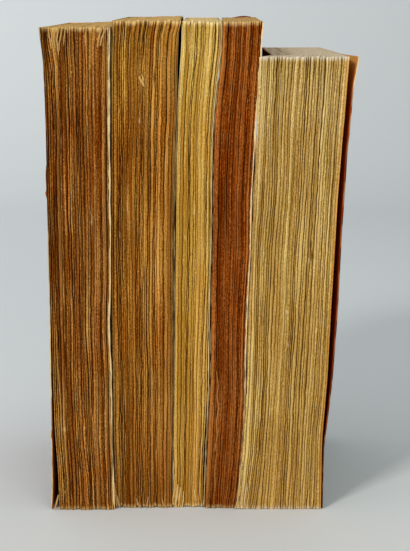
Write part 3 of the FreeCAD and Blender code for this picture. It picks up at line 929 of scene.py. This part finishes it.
def card_material(name, outside, faded, inside, deeper, paper):
    """A worn paper cover: printed card outside, toned card inside with painted light at its top, pale
    fibres at its edges, and dark rims partly of grime and partly of painted shade.
    """
    material, tree = new_material(name)
    nodes = Nodes(tree)
    place = millimetres(nodes)[0]
    stain = nodes.noise(place, scale=0.035, detail=4.0)
    scuff = nodes.noise(place, scale=0.5, detail=5.0, rough=0.65)
    fibre = nodes.noise(place, scale=4.0, detail=3.0, rough=0.7)
    handled = nodes.noise(place, scale=0.16, detail=7.0, rough=0.72)
    color = nodes.mix(nodes.ramp(stain, (0.35, 0.0), (0.7, 0.3)), outside, faded)
    color = nodes.mix(nodes.ramp(handled, (0.42, 0.0), (0.72, 0.5)), color, faded)
    spine_fade = nodes.ramp(nodes.scaled("fold", 0.2), (0.0, 0.6), (0.6, 0.0))
    color = nodes.mix(spine_fade, color, faded)
    crease = nodes.ramp(nodes.scaled("fold", 0.05),
                        (0.0, 0.0), (0.28, 0.0), (0.31, 1.0), (0.34, 0.0), (1.0, 0.0))
    worn = nodes.math("ADD", nodes.scaled("edge", 0.35), nodes.math("MULTIPLY", scuff, 0.9))
    worn = nodes.ramp(worn, (0.46, 1.0), (0.6, 0.0))
    rubbed = nodes.ramp(scuff, (0.68, 0.0), (0.74, 0.55))
    worn = nodes.math("ADD", worn, rubbed, clamp=True)
    creased = nodes.math("MULTIPLY", crease, nodes.ramp(scuff, (0.4, 0.0), (0.6, 0.7)))
    worn = nodes.math("ADD", worn, creased, clamp=True)
    # Grime darkens the card towards its edges.
    soiled = nodes.ramp(nodes.scaled("edge", 0.1), (0.05, 0.75), (0.9, 0.0))
    color = nodes.mix(soiled, color, RIM_GRIME_AND_SHADE)
    color = nodes.mix(worn, color, paper)
    # Painted light: the top tenth of an inner face takes the lighter inside colour, as where light falls from
    # above; lower down it is darker, and far from its edges lighter again, as toned card.
    lit_top = nodes.ramp(nodes.attribute("down"), (0.9, 0.0), (1.0, 1.0))
    inland = nodes.ramp(nodes.scaled("edge", 0.02), (0.5, 0.0), (1.0, 0.9))
    toned = nodes.mix(nodes.math("MAXIMUM", lit_top, inland), deeper, inside)
    toned = nodes.mix(nodes.ramp(stain, (0.35, 0.3), (0.65, 0.0)), toned, deeper)
    color = nodes.mix(nodes.attribute("inside"), color, toned)
    frayed = nodes.mix(nodes.ramp(fibre, (0.35, 0.0), (0.7, 0.5)), paper, inside)
    # Painted shade: a rim that is not pale turns dark brown, partly grime and partly the shade of the gap
    # beside it.
    frayed = nodes.mix(nodes.ramp(nodes.attribute("pale"), (0.1, 1.0), (0.8, 0.0)), frayed, RIM_GRIME_AND_SHADE)
    color = nodes.mix(nodes.attribute("rim"), color, frayed)
    bump = nodes.math("ADD", nodes.math("MULTIPLY", scuff, 0.5), nodes.math("MULTIPLY", fibre, 0.4))
    rough = nodes.ramp(scuff, (0.3, 0.6), (0.7, 0.85))
    finish_material(nodes, color, rough, bump, 0.3, 0.1, specular=0.0)
    return material


def sweep_material(name, left, right, front, corner):
    """Plain paper for the sweep, with light painted on it: a little paler to the left, where the key
    light falls, than to the right, on the shadow side, and in front; paler again at the front right,
    where the floor is lit in front of the books' shadow.
    """
    material, tree = new_material(name)
    nodes = Nodes(tree)
    place, axes = millimetres(nodes)
    grain = nodes.noise(place, scale=0.02, detail=2.0)
    across = nodes.math("MULTIPLY_ADD", axes["X"], 0.0012, 0.5)
    shade = nodes.mix(nodes.ramp(across, (0.1, 0.0), (0.9, 1.0)), left, right)
    near = nodes.math("MULTIPLY_ADD", axes["Y"], -0.0025, 0.3)
    front = nodes.mix(nodes.ramp(across, (0.53, 0.0), (0.66, 1.0)), front, corner)
    shade = nodes.mix(nodes.ramp(near, (0.0, 0.0), (0.8, 1.0)), shade, front)
    finish_material(nodes, shade, 0.9, grain, 0.0, 0.1)
    return material


# Each block's colours: painted shade in the gaps (and near the floor), dark, middle, light (also the
# painted highlight on leaf edges), on the head and on a page. Then how vivid its hues are, and how
# it is tinted at the tail and at the head.
LEAF_COLORS = {
    "first": [(38, 11, 0), (68, 26, 0), (122, 69, 19), (190, 138, 72), (206, 172, 108), (190, 150, 95)],
    "second": [(52, 20, 0), (94, 46, 2), (143, 92, 26), (196, 145, 74), (212, 178, 116), (205, 168, 110)],
    "third": [(98, 60, 10), (144, 102, 30), (174, 133, 52), (205, 169, 95), (222, 200, 146), (222, 195, 140)],
    "fourth": [(44, 12, 0), (78, 28, 0), (120, 58, 12), (168, 100, 46), (204, 172, 112), (180, 120, 70)],
    "fifth": [(92, 58, 12), (134, 98, 40), (168, 132, 62), (208, 178, 112), (205, 195, 174), (222, 198, 148)],
}
LEAF_TINTS = {
    "first": (0.9, (1.04, 1.06, 1.0, 1), (1.04, 1.04, 1.0, 1)),
    "second": (0.9, (0.72, 0.62, 0.6, 1), (1.05, 1.1, 1.1, 1)),
    "third": (0.6, (0.9, 0.76, 0.72, 1), (1.1, 1.22, 1.6, 1)),
    "fourth": (0.6, (0.8, 0.82, 0.76, 1), (1.05, 1.06, 0.96, 1)),
    "fifth": (0.4, (0.9, 0.82, 0.74, 1), (1.03, 1.12, 1.42, 1)),
}
# Each card's slot and colours: outside, faded, inside (also the painted light at its top), darker
# inside, and torn paper.
CARD_COLORS = {
    "first": ("maroon_card", (92, 30, 26), (120, 62, 48), (196, 152, 92), (205, 122, 56), (196, 174, 128)),
    "second": ("slate_card", (66, 80, 92), (98, 110, 118), (150, 122, 74), (84, 60, 30), (150, 116, 58)),
    "third": ("cream_card", (214, 196, 150), (224, 210, 172), (200, 170, 112), (120, 84, 40),
              (196, 172, 120)),
    "fourth": ("red_card", (142, 44, 26), (166, 84, 58), (112, 58, 32), (74, 32, 12), (230, 198, 140)),
    "fifth": ("green_card", (62, 92, 74), (98, 122, 100), (204, 156, 84), (198, 82, 24), (206, 182, 136)),
}


def make_books():
    for name in BOOKS:
        colors = [linear(*color) for color in LEAF_COLORS[name]]
        material = leaf_material(f"{name}_leaves", colors, *LEAF_TINTS[name], BOOKS[name]["height"],
                                 BOOKS[name]["grain"])
        leaves = make_leaves(name, material)
        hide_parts(f"{name}_book_pages")
        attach(leaves, "books")

    cards = {}
    for name, (slot, *colors) in CARD_COLORS.items():
        cards[name] = slot, card_material(slot, *[linear(*color) for color in colors])

    for name in ("second", "third", "fourth"):
        slot, material = cards[name]
        cover = make_cover(name, f"{name}_book_card", material)
        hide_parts(f"{name}_book_paper_cover")
        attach(cover, "books")

    hinged = {
        "first": ("left", "first_front_cover", "first_book_front_cover", "first_book_spine_and_back_cover"),
        "fifth": ("right", "fifth_back_cover", "fifth_book_back_cover", "fifth_book_front_cover_and_spine"),
    }
    for name, (side, body, panel_node, rest_node) in hinged.items():
        slot, material = cards[name]
        book = BOOKS[name]
        per_panel = len(panel_shares(book["back"] - book["front"] - RECESS))
        past_corner = per_panel + len(CORNER_TURNS)
        last = 2 * past_corner + SPINE_STATIONS - 1
        parts = {"panel": (0, per_panel - 1), "fold": (per_panel - 1, past_corner),
                 "rest": (past_corner, last)}
        if side == "right":
            parts = {part: (last - high, last - low) for part, (low, high) in parts.items()}
        panel = make_cover(name, f"{name}_book_swinging_card", material, part=parts["panel"])
        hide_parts(panel_node)
        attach(panel, body)
        rest = make_cover(name, f"{name}_book_fixed_card", material, part=parts["rest"])
        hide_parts(rest_node)
        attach(rest, "books")
        fold = make_cover(name, f"{name}_book_fold_card", material, part=parts["fold"])
        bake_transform(fold)


def make_stage():
    """A plain pale sweep: the floor, and the wall that it curves up into."""
    wide, near, reach, turn, tall = 4.0, -4.0, 1.3, 0.5, 2.6
    profile = [(near, 0.0), (reach - turn, 0.0)]
    profile += [
        (reach - turn + turn * math.sin(angle), turn - turn * math.cos(angle))
        for angle in np.linspace(0, math.pi / 2, 16)[1:]
    ]
    profile.append((reach, tall))
    mesh = bpy.data.meshes.new("floor_sweep")
    points = [(x, y, z) for y, z in profile for x in (-wide, wide)]
    faces = [(2 * n, 2 * n + 1, 2 * n + 3, 2 * n + 2) for n in range(len(profile) - 1)]
    mesh.from_pydata(points, [], faces)
    mesh.polygons.foreach_set("use_smooth", np.ones(len(faces), bool))
    # The sweep's shades are painted light: pale left, darker right and in front, lighter at the front right.
    shades = linear(230, 234, 235), linear(201, 205, 206), linear(197, 199, 195), linear(214, 216, 213)
    mesh.materials.append(sweep_material("floor_paper", *shades))
    sweep = bpy.data.objects.new("floor_sweep", mesh)
    bpy.context.scene.collection.objects.link(sweep)


def make_lamp(name, place, aim, size, power, color):
    light = bpy.data.lights.new(name, "AREA")
    light.shape = "SQUARE"
    light.size = size
    light.energy = power
    light.color = color
    lamp = bpy.data.objects.new(name, light)
    bpy.context.scene.collection.objects.link(lamp)
    lamp.location = place
    toward = Vector(aim) - lamp.location
    lamp.rotation_euler = toward.to_track_quat("-Z", "Y").to_euler()


def make_light():
    scene = bpy.context.scene
    scene.view_settings.view_transform = "Standard"
    world = bpy.data.worlds.new("studio")
    scene.world = world
    world.use_nodes = True
    sky = world.node_tree.nodes["Background"]
    sky.inputs["Color"].default_value = (0.97, 0.985, 1.0, 1.0)
    sky.inputs["Strength"].default_value = 0.6
    make_lamp("key", (-0.75, -1.35, 0.95), (0, 0, 0.08), 0.34, 17.5, (1.0, 0.985, 0.96))
    make_lamp("fill", (0.55, -1.6, 0.45), (0, 0, 0.08), 0.8, 10.0, (1.0, 1.0, 1.0))


def make_camera():
    """The camera, fitted to the photograph."""
    camera = bpy.data.cameras.new("camera")
    camera.sensor_fit = "AUTO"
    camera.sensor_width = 36.0
    camera.lens = 109.37
    camera.clip_start = 0.01
    seat = bpy.data.objects.new("camera", camera)
    bpy.context.scene.collection.objects.link(seat)
    seat.location = (0.001463, -0.6496, 0.1870)
    seat.rotation_euler = (math.radians(90 - 9.49), 0, 0)
    bpy.context.scene.camera = seat


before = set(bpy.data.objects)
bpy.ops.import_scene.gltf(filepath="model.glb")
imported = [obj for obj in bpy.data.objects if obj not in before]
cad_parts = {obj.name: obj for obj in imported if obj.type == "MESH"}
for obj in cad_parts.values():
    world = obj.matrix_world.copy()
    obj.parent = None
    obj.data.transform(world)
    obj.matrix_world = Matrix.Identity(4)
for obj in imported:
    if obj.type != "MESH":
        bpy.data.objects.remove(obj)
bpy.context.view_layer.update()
make_camera()
make_books()
make_stage()
make_light()
